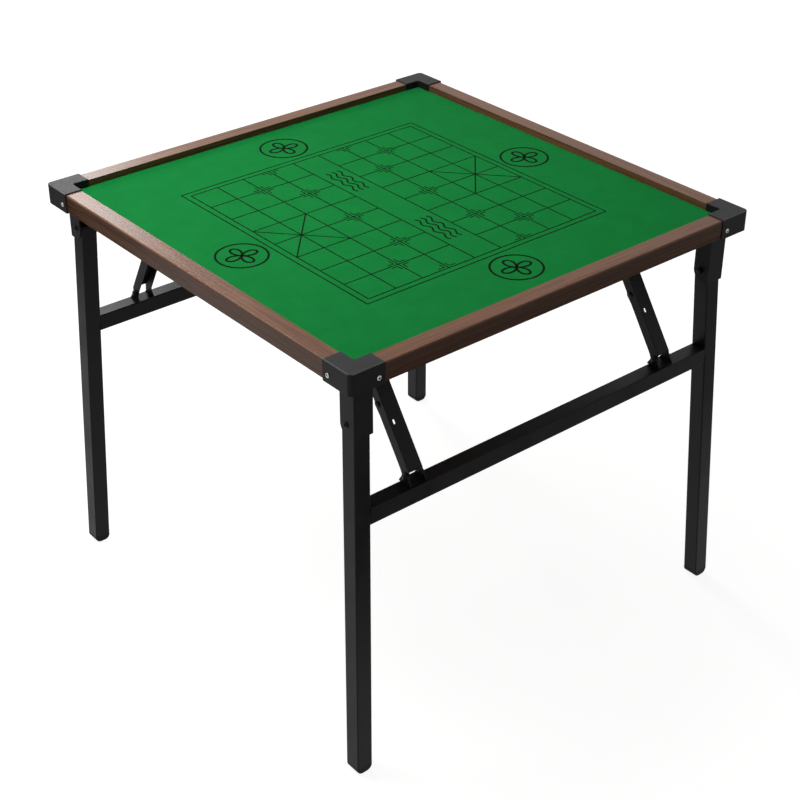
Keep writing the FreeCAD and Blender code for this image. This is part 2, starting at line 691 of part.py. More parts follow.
def make_lower_link(end, side, sign):
    """The stay's channel: web outside, flanges inside, from the clip to just past the knee."""
    place = stay_place(end, sign, "stay_pivot")
    body = new_body(f"stay_lower_{end}_{side}", ENDS[end], place, f"{end}_stay_angle")
    knee = f"{end}_stay_lower"
    view = [("0", "-stay_lug"), ("2 * stay_lug", "-stay_edge"),
            (f"{knee} - 2 * stay_lug", "-stay_edge"), (knee, "-stay_lug", knee, "0"),
            (f"{knee} + stay_lug", "0"), (f"{knee} + stay_overrun", "stay_web_inner"),
            (f"{knee} + stay_overrun", "stay_web_rise"), ("stay_lug", "stay_web_rise"),
            ("0", "stay_lug", "0", "0")]
    channel = pad(body, sketch_on(body, "YZ", [view]), "stay_width")
    fillet(body, channel, "stay_round", lambda edge: near(edge.CenterOfMass.z, "stay_web_rise")
           and near(abs(edge.CenterOfMass.x), "stay_width / 2"))
    room = rectangle("-2 * stay_lug", f"{knee} + 2 * stay_overrun", "-2 * stay_lug", "stay_web_inner")
    pocket(body, sketch_on(body, "YZ", [room]), "stay_inside")
    left = "slot_shift - slot_width / 2"
    right = "slot_shift + slot_width / 2"
    low = f"{knee} - slot_drop - slot_length / 2 + slot_width / 2"
    high = f"{knee} - slot_drop + slot_length / 2 - slot_width / 2"
    slot = [(left, low, "slot_shift", low), (right, low),
            (right, high, "slot_shift", high), (left, high)]
    pocket(body, sketch_on(body, "XY", [slot], at="stay_web_rise"), "2 * stay_wall", both=False)
    pocket(body, sketch_on(body, "YZ", circles=[("0", "0", "rivet_hole"), (knee, "0", "rivet_hole")]))


def make_upper_link(end, side, sign):
    """The stay's narrower link, nested in the channel at the knee and reaching up to its anchor."""
    place = stay_place(end, sign, f"{end}_knee")
    body = new_body(f"stay_upper_{end}_{side}", ENDS[end], place, f"{end}_stay_angle")
    tip = f"{end}_stay_upper"
    view = [("0", "-stay_lug"), (tip, "-stay_lug", tip, "0"), (tip, "stay_lug"),
            (f"{tip} - stay_lug", "upper_web_rise"), ("stay_lug", "upper_web_rise"),
            ("0", "stay_lug", "0", "0")]
    pad(body, sketch_on(body, "YZ", [view]), "upper_width")
    room = rectangle("-2 * stay_lug", f"{tip} + 2 * stay_lug", "-2 * stay_lug", "upper_web_inner")
    pocket(body, sketch_on(body, "YZ", [room]), "upper_inside")
    pocket(body, sketch_on(body, "YZ", circles=[("0", "0", "rivet_hole"), (tip, "0", "rivet_hole")]))


def make_knee_rivet(end, side, sign):
    """The rivet through both links of a stay, headed on the channel's two flanges."""
    y = f"-{end}_knee_y"
    z = f"{end}_knee_z"
    pieces = [rod((f"{sign} * stay_spread - stay_width / 2", y, z), "rivet_radius", "stay_width",
                  (1, 0, 0), ENDS[end])]
    for out in (-1, 1):
        seat = (f"{sign} * stay_spread + {out} * stay_width / 2", y, z)
        pieces.append(rod(seat, "rivet_head_radius", "rivet_head_height", (out, 0, 0), ENDS[end]))
    node(fuse(pieces), f"stay_knee_rivet_{end}_{side}")


def make_anchor(end, side, sign):
    """A bracket under the top: a plate with two ears that hang down beside a stay's upper end."""
    body = new_body(f"stay_anchor_{end}_{side}", ENDS[end], stay_place(end, sign, f"{end}_anchor"))
    top = "stay_anchor_drop"
    view = [("-stay_lug", "0", "0", "0"), ("stay_lug", "0"),
            ("anchor_half_length", f"{top} - sheet_thickness"), ("anchor_half_length", top),
            ("-anchor_half_length", top), ("-anchor_half_length", f"{top} - sheet_thickness")]
    pad(body, sketch_on(body, "YZ", [view]), "anchor_outside")
    room = rectangle("-2 * anchor_half_length", "2 * anchor_half_length", "-2 * stay_lug",
                     f"{top} - sheet_thickness")
    pocket(body, sketch_on(body, "YZ", [room]), "anchor_inside")
    plan = rectangle("-anchor_plate_half", "anchor_plate_half", "-anchor_half_length", "anchor_half_length")
    pad(body, sketch_on(body, "XY", [plan], at=f"{top} - sheet_thickness"), "sheet_thickness", both=False)
    holes = [("-anchor_screw_x", "0", "screw_hole"), ("anchor_screw_x", "0", "screw_hole")]
    pocket(body, sketch_on(body, "XY", circles=holes))
    pocket(body, sketch_on(body, "YZ", circles=[("0", "0", "rivet_hole")]))


def make_anchor_fasteners():
    screws = []
    rivets = []
    for end, yaw in ENDS.items():
        y = f"-{end}_anchor_y"
        for _, sign in places(end):
            for out in (-1, 1):
                hole = (f"{sign} * stay_spread + {out} * anchor_screw_x", y, "plate_bottom")
                screws.append(screw(hole, (0, 0, 1), "sheet_thickness + block_grip", yaw))
                seat = (f"{sign} * stay_spread + {out} * anchor_outside / 2", y, f"{end}_anchor_z")
                head = rod(seat, "rivet_head_radius", "rivet_head_height", (out, 0, 0), yaw)
                shank = rod(seat, "rivet_radius", "sheet_thickness", (-out, 0, 0), yaw)
                rivets.append(fuse([head, shank]))
    group("stay_anchor_screws", screws)
    group("stay_anchor_rivets", rivets)


def make_document():
    make_panel()
    make_cloth()
    for name, yaw in RAILS.items():
        make_rail(name, yaw)
    for name, yaw in CORNERS.items():
        make_cap(name, yaw)
    make_cap_screws()
    make_bracket_screws()
    make_pivot_bolts()
    make_anchor_fasteners()
    for end in ENDS:
        make_batten(end)
        make_crossbar(end)
        make_clip_rivets(end)
        for side, sign in places(end):
            for make in (make_corner_block, make_leg_bracket, make_leg, make_foot, make_clip,
                         make_lower_link, make_upper_link, make_knee_rivet, make_anchor):
                make(end, side, sign)
    doc.recompute()


def check_document():
    """Stops with a message if any object failed or any sub-part is empty or not valid."""
    for item in doc.Objects:
        bad = {"Invalid", "Error"} & set(item.State)
        if bad:
            raise RuntimeError(f"{item.Label} is {item.State}")
    for item in NODES:
        if item.Shape.isNull() or not item.Shape.isValid() or not item.Shape.Solids:
            raise RuntimeError(f"{item.Label} has no valid solid")


def write_parts():
    os.makedirs("parts", exist_ok=True)
    for item in NODES:
        item.Shape.exportStep(os.path.join("parts", item.Label + ".step"))
        print(item.Label, len(item.Shape.Solids), round(item.Shape.Volume / 1000, 2), "cm3")


make_document()
check_document()
write_parts()
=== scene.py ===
import math

import bpy
import numpy as np
from bpy.props import FloatProperty, FloatVectorProperty, IntProperty, PointerProperty
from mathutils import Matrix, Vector


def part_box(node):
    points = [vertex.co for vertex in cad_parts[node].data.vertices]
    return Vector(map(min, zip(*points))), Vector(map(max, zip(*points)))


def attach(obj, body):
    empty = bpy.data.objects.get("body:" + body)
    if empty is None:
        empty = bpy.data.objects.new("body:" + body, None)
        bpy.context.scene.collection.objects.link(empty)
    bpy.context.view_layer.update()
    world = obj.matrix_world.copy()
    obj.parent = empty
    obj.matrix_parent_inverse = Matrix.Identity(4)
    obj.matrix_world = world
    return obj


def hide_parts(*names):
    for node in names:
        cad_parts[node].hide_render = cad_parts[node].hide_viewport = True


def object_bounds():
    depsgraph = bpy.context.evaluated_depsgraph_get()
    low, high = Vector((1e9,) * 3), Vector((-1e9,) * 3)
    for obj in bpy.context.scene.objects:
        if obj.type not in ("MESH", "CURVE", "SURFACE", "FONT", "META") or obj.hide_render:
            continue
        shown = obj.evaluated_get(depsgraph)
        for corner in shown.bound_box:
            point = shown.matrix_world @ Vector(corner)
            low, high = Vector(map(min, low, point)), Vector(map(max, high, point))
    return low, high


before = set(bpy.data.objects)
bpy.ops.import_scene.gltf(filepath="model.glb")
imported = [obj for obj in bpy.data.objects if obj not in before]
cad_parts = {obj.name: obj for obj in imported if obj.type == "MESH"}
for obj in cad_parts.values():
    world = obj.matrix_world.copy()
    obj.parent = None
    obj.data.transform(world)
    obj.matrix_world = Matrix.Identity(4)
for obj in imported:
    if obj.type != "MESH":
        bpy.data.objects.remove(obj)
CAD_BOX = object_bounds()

bl_info = {
    "name": "Folding Mahjong Table",
    "version": (1, 0, 0),
    "blender": (4, 5, 0),
    "location": "View3D > Sidebar > Mahjong Table",
    "description": "Dresses the folding table's frame: felt, print, fasteners, finishes and stage",
    "category": "Object",
}

MM = 0.001
CORNERS = ("front_left", "front_right", "back_left", "back_right")
ENDS = ("front", "back")
FRAME_PIXELS = 800


def linear(code):
    """Linear RGB of an sRGB hex colour: the low end is a straight line, the rest a 2.4 power."""
    shares = [int(code[i:i + 2], 16) / 255 for i in (1, 3, 5)]
    return tuple(s / 12.92 if s <= 0.04045 else ((s + 0.055) / 1.055) ** 2.4 for s in shares)


def length(name, millimetres, description):
    """A size property in metres, written in millimetres."""
    return FloatProperty(name=name, description=description, default=millimetres * MM,
                         min=0.0, subtype="DISTANCE", unit="LENGTH", precision=5)


def colour(name, code, description):
    """A colour property whose default is an sRGB hex value."""
    return FloatVectorProperty(name=name, description=description, default=linear(code),
                               size=3, min=0.0, max=1.0, subtype="COLOR")


# Settings that a user would change

class ClothSettings(bpy.types.PropertyGroup):
    """Sizes of the felt on the playing surface."""
    cap_skirt: length("Cap skirt", 1.5, "How far the corner caps reach over the edge of the cloth")
    gap: length("Gap", 0.3, "Space between the cloth and a cap")
    corner: length("Corner", 2.5, "Trim across the cloth's corners")
    edge_round: length("Edge round", 0.6, "Rounding of the cut edge")
    swell: length("Swell", 0.12, "How far the glued felt swells and dips")
    swell_length: length("Swell length", 210.0, "Distance from one swell to the next")
    step: length("Step", 8.0, "Spacing of the cloth's mesh")


class PrintSettings(bpy.types.PropertyGroup):
    """Sizes of the board printed on the felt."""
    rank_step: length("Rank step", 54.5, "Spacing of the lines that run along the river")
    file_step: length("File step", 61.0, "Spacing of the lines that run across the river")
    river: length("River", 57.0, "Width of the empty band in the middle")
    border: length("Border", 12.0, "From the edge of the grid to the line round it")
    line: length("Line", 2.3, "Width of a grid line")
    mark_gap: length("Mark gap", 5.5, "From a crossing to the marks beside it")
    mark_arm: length("Mark arm", 12.0, "Length of a mark's arm")
    mark_line: length("Mark line", 1.9, "Width of a mark")
    ring_place: length("Ring place", 311.0, "From the middle of the table to the middle of a ring")
    ring_radius: length("Ring radius", 43.0, "Radius of the rings at the middle of each side")
    ring_line: length("Ring line", 3.8, "Width of a ring")
    petal: length("Petal", 29.0, "Length of a petal inside a ring")
    petal_line: length("Petal line", 4.2, "Width of a petal's outline")
    wave_place: length("Wave place", 122.0, "From the middle of the river to the middle of its waves")
    wave_run: length("Wave run", 92.0, "Length of a wave line in the river")
    wave_height: length("Wave height", 3.4, "How far a wave line swings to each side")
    wave_step: length("Wave step", 12.0, "Spacing of the wave lines")
    wave_line: length("Wave line", 3.0, "Width of a wave line")
    bleed: length("Bleed", 0.12, "How far the ink's edge wanders in the felt")
    lift: length("Lift", 0.1, "How far the lowest ink stands on the felt")
    film: length("Film", 0.05, "Thickness of the ink")


class FastenerSettings(bpy.types.PropertyGroup):
    """Sizes of what shows on screws, bolts and rivets."""
    around: IntProperty(name="Around", description="Points round a head", default=48, min=12)
    screw_head: length("Screw head", 2.2, "Height of a screw's head")
    screw_shank: length("Screw shank", 1.75, "Radius of a screw's shank")
    bolt_head: length("Bolt head", 3.0, "Height of a pivot bolt's head")
    bolt_shank: length("Bolt shank", 3.0, "Radius of a pivot bolt's shank")
    rivet_head: length("Rivet head", 3.0, "Height of a rivet's head")
    rivet_shank: length("Rivet shank", 3.0, "Radius of a rivet's shank")
    recess_half: length("Recess", 0.75, "Half the width of a screw's cross recess")
    recess_reach: length("Recess reach", 2.5, "From the middle of a screw head to the end of its recess")
    recess_depth: length("Recess depth", 1.5, "Depth of a screw's cross recess")
    socket_half: length("Socket", 2.0, "Half the width across the flats of a bolt's socket")
    socket_depth: length("Socket depth", 1.7, "Depth of a bolt's socket")


class FinishSettings(bpy.types.PropertyGroup):
    """Colours of the table's finishes."""
    felt: colour("Felt", "#117F39", "Green of the playing cloth")
    felt_deep: colour("Felt, deep", "#0F7935", "Deeper green where the pile lies the other way")
    ink: colour("Ink", "#080A06", "Printing ink on the felt")
    film: colour("Rail film", "#80583F", "Brown of the wood-grain film")
    film_deep: colour("Rail film, deep", "#6A4532", "Dark streaks of the wood-grain film")
    # The rail film's edge colour is partly wear and partly a painted highlight along the rounded outer edge.
    film_rub_highlight: colour("Rail film, edge", "#866450", "Paler outer edge of the wood-grain film, from wear and a painted highlight")
    moulding: colour("Moulding", "#1B1B1D", "Black plastic of the caps and feet")
    # The moulding's edge colour is partly wear and partly a painted highlight along the caps' top edges.
    moulding_rub_highlight: colour("Moulding, edge", "#6A6A6C", "Paler edges of the caps, from wear and a painted highlight")
    coat: colour("Coat", "#18181A", "Black powder coat of the steel")
    zinc: colour("Zinc", "#B4B2AC", "Plating of the screws")
    # The recess colour is painted shade that darkens the bottom of a screw's cross recess.
    recess_shade: colour("Recess shade", "#1A1917", "Painted shade in the recess of a screw")
    pine: colour("Pine", "#B98F62", "Wood of the blocks and battens")
    board: colour("Board", "#8E6B4A", "Underside of the top panel")


class StageSettings(bpy.types.PropertyGroup):
    """Camera, light and floor."""
    azimuth: FloatProperty(name="Azimuth", description="Turn of the camera round the table, from the front",
                           default=math.radians(-39.73), subtype="ANGLE", unit="ROTATION")
    elevation: FloatProperty(name="Elevation", description="Height of the camera's look down",
                             default=math.radians(31.67), subtype="ANGLE", unit="ROTATION")
    camera: FloatVectorProperty(name="Camera", description="Place of the camera", size=3,
                                default=(-1.60977, -1.95934, 1.91642), subtype="TRANSLATION", unit="LENGTH")
    focal_pixels: FloatProperty(name="Focal length", description="Focal length in pixels of the square frame",
                                default=1623.76, min=1.0)
    floor_side: length("Floor", 60000.0, "Side of the floor")
    floor: colour("Floor colour", "#9C9C9A", "Colour of the floor in the light that it throws back")
    floor_glow: FloatProperty(name="Floor glow", description="White that the camera sees added to the floor",
                              default=0.9, min=0.0, max=1.0, subtype="FACTOR")
    ambient: FloatProperty(name="Ambient", description="Level of the light from all round",
                           default=0.08, min=0.0)
    sky_strength: FloatProperty(name="Sky strength", description="Strength of the broad light from above",
                                default=0.5, min=0.0)
    sky_spread: FloatProperty(name="Sky spread", description="Width of the broad light, seen from the table",
                              default=math.radians(50.0), subtype="ANGLE", unit="ROTATION")
    key_power: FloatProperty(name="Key power", description="Power of the lamp above the left side",
                             default=15.5, min=0.0, subtype="POWER", unit="POWER")
    back_power: FloatProperty(name="Back power", description="Power of the lamp behind the table",
                              default=48.0, min=0.0, subtype="POWER", unit="POWER")


class TableSettings(bpy.types.PropertyGroup):
    """All settings of the table."""
    cloth: PointerProperty(type=ClothSettings, name="Cloth", description="Felt on the playing surface")
    board: PointerProperty(type=PrintSettings, name="Print", description="Board printed on the felt")
    fasteners: PointerProperty(type=FastenerSettings, name="Fasteners",
                               description="Screws, bolts and rivets")
    finish: PointerProperty(type=FinishSettings, name="Finish", description="Colours of the finishes")
    stage: PointerProperty(type=StageSettings, name="Stage", description="Camera, light and floor")


# Meshes from arrays

def grid_faces(rows, columns, closed=False):
    """Quads of a grid of points in row order; a closed grid joins its last column to its first."""
    steps = columns if closed else columns - 1
    row, column = np.meshgrid(np.arange(rows - 1), np.arange(steps), indexing="ij")
    after = (column + 1) % columns
    corners = (row * columns + column, row * columns + after,
               (row + 1) * columns + after, (row + 1) * columns + column)
    return np.stack(corners, axis=-1).reshape(-1, 4)


def capped_faces(rings, around):
    """Quads between rings, and a fan of triangles at each end.

    The points are the first pole, the rings in order, then the last pole."""
    walls = grid_faces(rings, around, closed=True) + 1
    column = np.arange(around)
    after = (column + 1) % around
    last = (rings - 1) * around + 1
    first_fan = np.stack([np.zeros(around, int), after + 1, column + 1], axis=-1)
    last_fan = np.stack([np.full(around, rings * around + 1), last + column, last + after], axis=-1)
    return walls, np.concatenate([first_fan, last_fan])


def make_piece(name, points, *face_sets, material, smooth=True):
    """A mesh object at the origin, from an array of points and arrays of faces of one size each."""
    mesh = bpy.data.meshes.new(name)
    faces = [face for faces in face_sets for face in faces.tolist()]
    mesh.from_pydata(points.reshape(-1, 3).tolist(), [], faces)
    mesh.polygons.foreach_set("use_smooth", np.full(len(faces), smooth))
    mesh.materials.append(material)
    mesh.validate()
    mesh.update()
    piece = bpy.data.objects.new(name, mesh)
    bpy.context.scene.collection.objects.link(piece)
    return piece


def middle(node):
    """Middle of a node's box and its half sizes, as arrays."""
    low, high = (np.array(corner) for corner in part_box(node))
    return (low + high) / 2, (high - low) / 2


def settings():
    """The scene's settings of the table."""
    return bpy.context.scene.mahjong_table


# Materials

# Real sizes of the patterns in millimetres; a pair is the width and the length of a streak
FELT_MOTTLE, FELT_PILE = 38, 1.6
# The film's and the caps' rub reaches set the width of a paler edge band, partly wear and partly a painted
# highlight.
FILM_STREAK, FILM_PORE, FILM_RUB_HIGHLIGHT = (5, 160), (0.9, 40), 4
MOULD_FLOW, CAP_RUB_HIGHLIGHT = 24, 2.2
COAT_HANDLING = 55
ZINC_BLOOM = 3
PINE_RING = (6, 220)
BOARD_FIBRE = 2


def set_inputs(tree, node, inputs):
    """Sets each of the named inputs of a node to its value, or links it to its socket."""
    for name, value in inputs.items():
        if isinstance(value, bpy.types.NodeSocket):
            tree.links.new(value, node.inputs[name])
        else:
            node.inputs[name].default_value = value


def add_node(tree, kind, inputs=None, **values):
    """Adds a shader node of that kind, sets its own values, then sets or links each of the named inputs."""
    made = tree.nodes.new(f"ShaderNode{kind}")
    for name, value in values.items():
        setattr(made, name, value)
    set_inputs(tree, made, inputs or {})
    return made


def new_material(name):
    """A node material, its tree, the principled shader on its output, and the object's coordinates."""
    material = bpy.data.materials.new(name)
    material.use_nodes = True
    tree = material.node_tree
    tree.nodes.clear()
    shader = add_node(tree, "BsdfPrincipled")
    add_node(tree, "OutputMaterial", {"Surface": shader.outputs["BSDF"]})
    place = add_node(tree, "TexCoord").outputs["Object"]
    return material, tree, shader, place


def per(millimetres):
    """Texture scale, in repeats to the metre, of a pattern of that real size."""
    return 1.0 / (millimetres * MM)


def opaque(colour_value):
    """The colour with full alpha."""
    return (*colour_value, 1.0)


def toned(tree, colour_value, pattern, low, high, darkest, palest):
    """The colour times a share, which goes from darkest to palest as the pattern goes from low to high."""
    share = add_node(tree, "MapRange", {
        "Value": pattern.outputs["Fac"], "From Min": low, "From Max": high, "To Min": darkest,
        "To Max": palest})
    scaled = add_node(tree, "VectorMath", {
        0: colour_value, "Scale": share.outputs["Result"]}, operation="SCALE")
    return scaled.outputs["Vector"]


def near_edge(tree, place, planes, reach):
    """One on the edge where two planes meet, falling to nought within reach of either.

    It is the product of how near the place is to each plane, by its distance from the middle."""
    parts = add_node(tree, "SeparateXYZ", {"Vector": place})
    closeness = []
    for axis, plane in planes.items():
        away = add_node(tree, "Math", {0: parts.outputs[axis]}, operation="ABSOLUTE")
        close = add_node(tree, "MapRange", {
            "Value": away.outputs["Value"], "From Min": plane - reach, "From Max": plane})
        closeness.append(close.outputs["Result"])
    both = add_node(tree, "Math", {0: closeness[0], 1: closeness[1]}, operation="MULTIPLY")
    return both.outputs["Value"]


def pile_felt():
    """Brushed polyester felt: a soft matt green with a faint sheen, mottled where the pile lies either way.

    Real fibres are about 0.03 mm; the pile is drawn at 1.6 mm so that it shows."""
    colours = settings().finish
    material, tree, shader, place = new_material("Brushed polyester felt")
    mottle = add_node(tree, "TexNoise", {"Vector": place, "Scale": per(FELT_MOTTLE), "Detail": 4.0})
    pile = add_node(tree, "TexNoise", {
        "Vector": place, "Scale": per(FELT_PILE), "Detail": 3.0, "Roughness": 0.7})
    spread = add_node(tree, "MapRange", {"Value": mottle.outputs["Fac"], "From Min": 0.3, "From Max": 0.7})
    ground = add_node(tree, "Mix", {
        "Factor": spread.outputs["Result"], "A": opaque(colours.felt_deep), "B": opaque(colours.felt)},
        data_type="RGBA")
    bump = add_node(tree, "Bump", {"Height": pile.outputs["Fac"], "Strength": 0.35, "Distance": 0.4 * MM})
    set_inputs(tree, shader, {
        "Base Color": toned(tree, ground.outputs["Result"], pile, 0.2, 0.8, 0.82, 1.14),
        "Normal": bump.outputs["Normal"], "Roughness": 0.95, "Specular IOR Level": 0.05,
        "Sheen Weight": 0.02, "Sheen Roughness": 0.5, "Sheen Tint": (0.55, 0.9, 0.6, 1.0)})
    return material


def screen_ink():
    """Screen-printed ink: matt near-black that lets a little of the green through where the pile is high."""
    colours = settings().finish
    material, tree, shader, place = new_material("Screen-printed ink")
    pile = add_node(tree, "TexNoise", {"Vector": place, "Scale": per(FELT_PILE), "Detail": 3.0})
    mixed_in = add_node(tree, "MapRange", {
        "Value": pile.outputs["Fac"], "From Min": 0.5, "From Max": 0.8, "To Max": 0.25})
    blend = add_node(tree, "Mix", {
        "Factor": mixed_in.outputs["Result"], "A": opaque(colours.ink), "B": opaque(colours.felt_deep)},
        data_type="RGBA")
    set_inputs(tree, shader, {
        "Base Color": blend.outputs["Result"], "Roughness": 0.9, "Specular IOR Level": 0.04})
    return material


def wood_film(name, across, outer, top):
    """Printed wood-grain film wrapped on a rail: brown with dark streaks along it, under a satin lacquer.

    The streaks are 5 mm wide and 160 mm long, the pores 0.9 mm by 40 mm. The outer top edge, where hands
    and cases rub, is paler within 4 mm of the edge both ways: partly wear, partly a painted highlight of the
    rounded edge."""
    colours = settings().finish
    material, tree, shader, place = new_material(name)
    scales = [(per(width), per(run), per(width)) if across == "X" else (per(run), per(width), per(width))
              for width, run in (FILM_STREAK, FILM_PORE)]
    along, close = [add_node(tree, "Mapping", {"Vector": place, "Scale": scale}) for scale in scales]
    streaks = add_node(tree, "TexNoise", {
        "Vector": along.outputs["Vector"], "Scale": 1.0, "Detail": 3.0, "Distortion": 0.6})
    pores = add_node(tree, "TexNoise", {"Vector": close.outputs["Vector"], "Scale": 1.0, "Detail": 2.0})
    grain = add_node(tree, "MapRange", {
        "Value": streaks.outputs["Fac"], "From Min": 0.34, "From Max": 0.66})
    ground = add_node(tree, "Mix", {
        "Factor": grain.outputs["Result"], "A": opaque(colours.film_deep), "B": opaque(colours.film)},
        data_type="RGBA")
    # Paler band along the outer top edge: partly wear, partly a painted highlight of the rounded edge.
    edge = near_edge(tree, place, {across: outer, "Z": top}, FILM_RUB_HIGHLIGHT * MM)
    rubbed_and_highlit = add_node(tree, "Mix", {
        "Factor": edge, "A": toned(tree, ground.outputs["Result"], pores, 0.3, 0.6, 0.8, 1.0),
        "B": opaque(colours.film_rub_highlight)}, data_type="RGBA")
    satin = add_node(tree, "MapRange", {"Value": streaks.outputs["Fac"], "To Min": 0.22, "To Max": 0.34})
    bump = add_node(tree, "Bump", {"Height": pores.outputs["Fac"], "Strength": 0.15, "Distance": 0.15 * MM})
    set_inputs(tree, shader, {
        "Base Color": rubbed_and_highlit.outputs["Result"], "Roughness": satin.outputs["Result"],
        "Normal": bump.outputs["Normal"], "Specular IOR Level": 0.12, "Coat Weight": 0.04,
        "Coat Roughness": 0.2})
    return material


def moulded_plastic(name, grit, shine, edges=()):
    """Black plastic from a spark-eroded mould: a fine even grit that breaks the gloss, and faint flow marks.

    The mould's grit is about 0.1 mm; it is drawn coarser, at the size given, so that it shows. Edges,
    given by the planes that meet there, are a paler grey within 2.2 mm, partly wear and partly a painted
    highlight."""
    colours = settings().finish
    material, tree, shader, place = new_material(name)
    spark = add_node(tree, "TexNoise", {"Vector": place, "Scale": per(grit), "Detail": 2.0})
    flow = add_node(tree, "TexNoise", {"Vector": place, "Scale": per(MOULD_FLOW), "Detail": 2.0})
    black = toned(tree, colours.moulding[:], flow, 0.3, 0.7, 0.85, 1.25)
    # Paler grey along the given edges: partly wear, partly a painted highlight.
    for planes in edges:
        edge = near_edge(tree, place, planes, CAP_RUB_HIGHLIGHT * MM)
        rubbed_and_highlit = add_node(tree, "Mix", {
            "Factor": edge, "A": black, "B": opaque(colours.moulding_rub_highlight)}, data_type="RGBA")
        black = rubbed_and_highlit.outputs["Result"]
    gloss = add_node(tree, "MapRange", {
        "Value": spark.outputs["Fac"], "To Min": shine - 0.07, "To Max": shine + 0.07})
    bump = add_node(tree, "Bump", {"Height": spark.outputs["Fac"], "Strength": 0.3, "Distance": 0.2 * MM})
    set_inputs(tree, shader, {
        "Base Color": black, "Roughness": gloss.outputs["Result"], "Normal": bump.outputs["Normal"],
        "Specular IOR Level": 0.12})
    return material


def powder_coat(name, peel, shine):
    """Black powder coat baked on steel: satin, with the slow ripple of orange peel, about 2 mm across."""
    colours = settings().finish
    material, tree, shader, place = new_material(name)
    ripple = add_node(tree, "TexNoise", {"Vector": place, "Scale": per(peel), "Detail": 1.0})
    handling = add_node(tree, "TexNoise", {"Vector": place, "Scale": per(COAT_HANDLING), "Detail": 4.0})
    gloss = add_node(tree, "MapRange", {
        "Value": handling.outputs["Fac"], "From Min": 0.3, "From Max": 0.7, "To Min": shine - 0.05,
        "To Max": shine + 0.06})
    bump = add_node(tree, "Bump", {
        "Height": ripple.outputs["Fac"], "Strength": 0.12, "Distance": 0.15 * MM})
    set_inputs(tree, shader, {
        "Base Color": toned(tree, colours.coat[:], handling, 0.3, 0.7, 0.85, 1.3),
        "Roughness": gloss.outputs["Result"], "Normal": bump.outputs["Normal"], "Specular IOR Level": 0.12})
    return material


def zinc_plate():
    """Bright zinc on screw steel: a pale grey metal, fairly smooth, with a cloudy bloom 3 mm across.

    The recess attribute of a screw, one at the bottom of its cross, turns it dark there as painted shade in
    the recess."""
    colours = settings().finish
    material, tree, shader, place = new_material("Zinc-plated steel")
    bloom = add_node(tree, "TexNoise", {"Vector": place, "Scale": per(ZINC_BLOOM), "Detail": 3.0})
    haze = add_node(tree, "MapRange", {"Value": bloom.outputs["Fac"], "To Min": 0.2, "To Max": 0.38})
    recess = add_node(tree, "Attribute", attribute_name="recess")
    plate = toned(tree, colours.zinc[:], bloom, 0.0, 1.0, 0.85, 1.08)
    # Painted shade: the plate darkens to near-black at the bottom of a screw's cross recess.
    mixed_in = add_node(tree, "Mix", {
        "Factor": recess.outputs["Fac"], "A": plate, "B": opaque(colours.recess_shade)}, data_type="RGBA")
    set_inputs(tree, shader, {
        "Base Color": mixed_in.outputs["Result"], "Roughness": haze.outputs["Result"], "Metallic": 1.0})
    return material


def planed_pine():
    """Planed pine: pale, with growth rings 6 mm apart that run along the table's width."""
    colours = settings().finish
    material, tree, shader, place = new_material("Planed pine")
    width, run = PINE_RING
    along = add_node(tree, "Mapping", {"Vector": place, "Scale": (per(run), per(width), per(width))})
    rings = add_node(tree, "TexNoise", {
        "Vector": along.outputs["Vector"], "Scale": 1.0, "Detail": 4.0, "Distortion": 0.8})
    bump = add_node(tree, "Bump", {"Height": rings.outputs["Fac"], "Strength": 0.2, "Distance": 0.2 * MM})
    set_inputs(tree, shader, {
        "Base Color": toned(tree, colours.pine[:], rings, 0.3, 0.7, 0.62, 1.1),
        "Normal": bump.outputs["Normal"], "Roughness": 0.7})
    return material


def pressed_board():
    """Pressed fibreboard: an even brown, specked with fibres and slightly shiny from the press.

    The specks of fibre are 2 mm across."""
    colours = settings().finish
    material, tree, shader, place = new_material("Pressed fibreboard")
    fibres = add_node(tree, "TexNoise", {
        "Vector": place, "Scale": per(BOARD_FIBRE), "Detail": 4.0, "Roughness": 0.7})
    bump = add_node(tree, "Bump", {"Height": fibres.outputs["Fac"], "Strength": 0.15, "Distance": 0.2 * MM})
    set_inputs(tree, shader, {
        "Base Color": toned(tree, colours.board[:], fibres, 0.25, 0.75, 0.7, 1.2),
        "Normal": bump.outputs["Normal"], "Roughness": 0.6})
    return material


def dress(material, *names):
    """Gives the material to the frame's own pieces of those names."""
    for name in names:
        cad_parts[name].material_slots[0].material = material


def at_corners(*stems):
    """Names of the pieces of those stems at the four corners."""
    return [f"{stem}_{corner}" for stem in stems for corner in CORNERS]


# Felt and print

SWELL_SKEW, SWELL_SHIFT = 0.8, 0.6      # the swell's rate along Y, as a share of X's, and its phase
EDGE_RINGS, UNDER_SHARE = 4, 0.5        # rings of the rounded edge, and reach of the ring under the cloth
PATH_POINTS, MARK_POINTS, RING_POINTS = 48, 4, 144
BLEED_WAVES = ((0.9, 0.0), (0.37, 1.0))  # radians to the millimetre, and phase
BANK_LINES, HALF_FILES = 5, 4           # lines on each bank of the river, steps from the middle to the side
WAVE_TURNS, LAYER_STEP = 3, 0.02 * MM


def swell(x, y):
    """Height of the felt's slow swell: the product of a sine along X and a cosine along Y."""
    cloth = settings().cloth
    wave = 2 * math.pi / cloth.swell_length
    return cloth.swell * np.sin(wave * x) * np.cos(SWELL_SKEW * wave * y + SWELL_SHIFT)


def cloth_outline(half, notch, inner, corner):
    """Outline of the cloth as corner points: a square whose corners step in where the caps reach over it."""
    side = np.array([(half, -notch), (half, notch), (inner, notch), (inner, inner - corner),
                     (inner - corner, inner), (notch, inner)])
    quarter = np.array([(0.0, 1.0), (-1.0, 0.0)])
    turns = [np.linalg.matrix_power(quarter, k) for k in range(4)]
    return np.concatenate([side @ turn for turn in turns])


